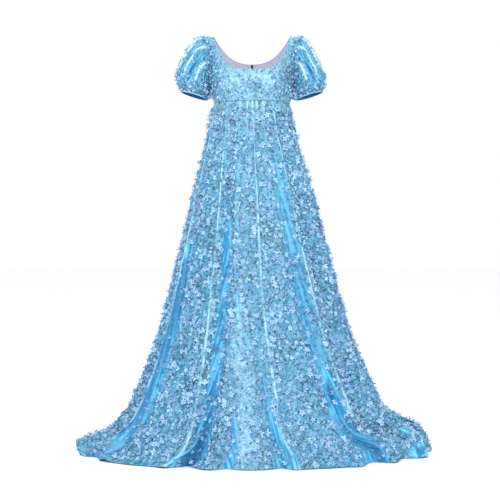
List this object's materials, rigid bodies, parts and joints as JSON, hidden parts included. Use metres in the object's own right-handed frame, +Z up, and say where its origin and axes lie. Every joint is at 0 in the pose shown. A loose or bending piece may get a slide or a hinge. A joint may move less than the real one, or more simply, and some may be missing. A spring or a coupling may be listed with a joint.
{
  "type": "regency gown",
  "caption": "Raised-waist gown with short puffed sleeves, scooped neck, small raised flowers all over and a full gored skirt that spreads into a train.",
  "frame": {"origin": "middle of the shoulder line, where the wearer's shoulders hold the gown up", "axes": "+Z up, -Y towards the gown's front, +X towards the wearer's left"},
  "size_m": [1.2585, 1.0031, 1.4604],
  "materials": {
    "overlay_cloth": "pale blue satin under embroidered net with raised flowers",
    "lining_cloth": "lilac-grey lining cloth",
    "zip_metal": "satin metal"
  },
  "bodies": {
    "gown": {"bodice_front": "overlay_cloth", "bodice_back_left": "overlay_cloth", "bodice_back_right": "overlay_cloth", "neck_facing_left": "lining_cloth", "neck_facing_right": "lining_cloth", "neck_hook": "zip_metal", "sleeve_left": "overlay_cloth", "sleeve_right": "overlay_cloth", "cuff_left": "overlay_cloth", "cuff_right": "overlay_cloth", "skirt_front": "overlay_cloth", "skirt_side_front_left": "overlay_cloth", "skirt_side_front_right": "overlay_cloth", "skirt_side_back_left": "overlay_cloth", "skirt_side_back_right": "overlay_cloth", "skirt_back_left": "overlay_cloth", "skirt_back_right": "overlay_cloth", "zip_slider": "zip_metal"},
    "zip_pull": {"zip_pull": "zip_metal"}
  },
  "joints": [
    {"name": "zip_pull_swing", "type": "hinge", "parent": "gown", "child": "zip_pull", "pos_m": [0, 0.09667, -0.087], "axis": [1, 0, 0], "range_deg": [0, 150]}
  ]
}
